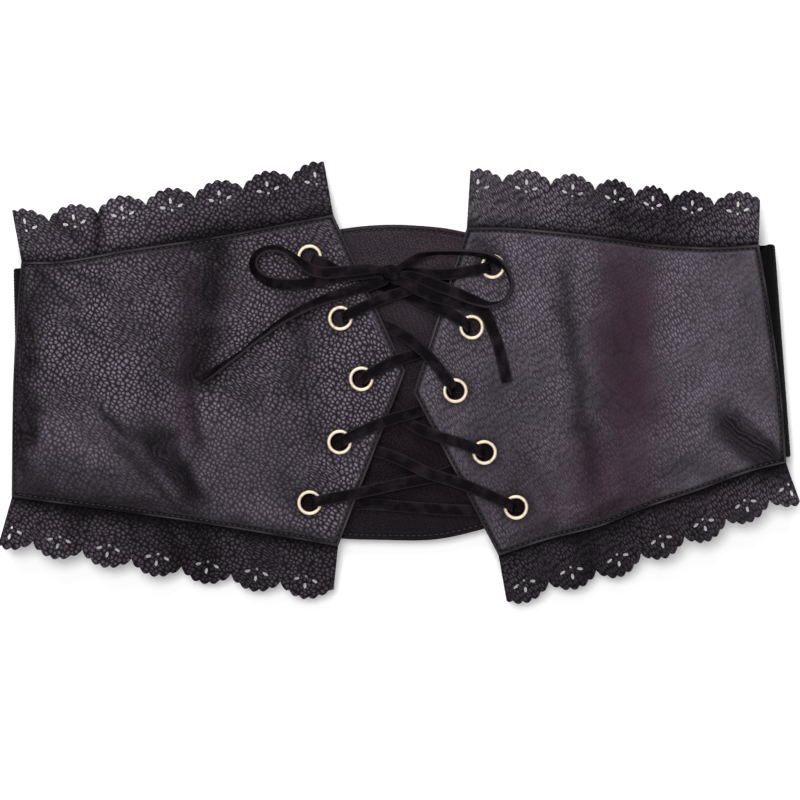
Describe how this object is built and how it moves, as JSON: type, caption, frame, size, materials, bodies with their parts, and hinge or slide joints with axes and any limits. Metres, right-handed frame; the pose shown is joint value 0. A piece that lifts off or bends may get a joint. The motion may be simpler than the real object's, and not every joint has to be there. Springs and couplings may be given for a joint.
{
  "type": "corset belt",
  "caption": "Wide waist belt of black grained leather, laced at the front through brass eyelets with a bow, with pierced scalloped trims and an elastic back.",
  "frame": {"origin": "middle of the lying belt on the surface it lies on, under the middle of the elastic back", "axes": "+X along the belt to the right as seen from the front, +Y towards the belt's top edge, +Z out of the belt's front"},
  "size_m": [0.3616, 0.1999, 0.0221],
  "materials": {
    "grained_leather": "black pebbled leather with a soft gloss and a faint plum tint",
    "tongue_leather": "smoother black leather, soft gloss",
    "elastic": "black ribbed elastic, dull",
    "lace": "flat brown-black suede-like lace, dull",
    "eyelet_brass": "pale antique brass, worn bright on the rims"
  },
  "bodies": {
    "root": {"panel_left": "grained_leather", "panel_right": "grained_leather", "trim_top_left": "grained_leather", "trim_top_right": "grained_leather", "trim_bottom_left": "grained_leather", "trim_bottom_right": "grained_leather", "tongue": "tongue_leather", "elastic_back": "elastic", "lacing": "lace", "eyelet_left_1": "eyelet_brass", "eyelet_left_2": "eyelet_brass", "eyelet_left_3": "eyelet_brass", "eyelet_left_4": "eyelet_brass", "eyelet_left_5": "eyelet_brass", "eyelet_right_1": "eyelet_brass", "eyelet_right_2": "eyelet_brass", "eyelet_right_3": "eyelet_brass", "eyelet_right_4": "eyelet_brass", "eyelet_right_5": "eyelet_brass", "bow_knot": "lace", "bow_loop_left": "lace", "bow_loop_right": "lace", "lace_tail_left": "lace", "lace_tail_right": "lace"}
  },
  "joints": []
}
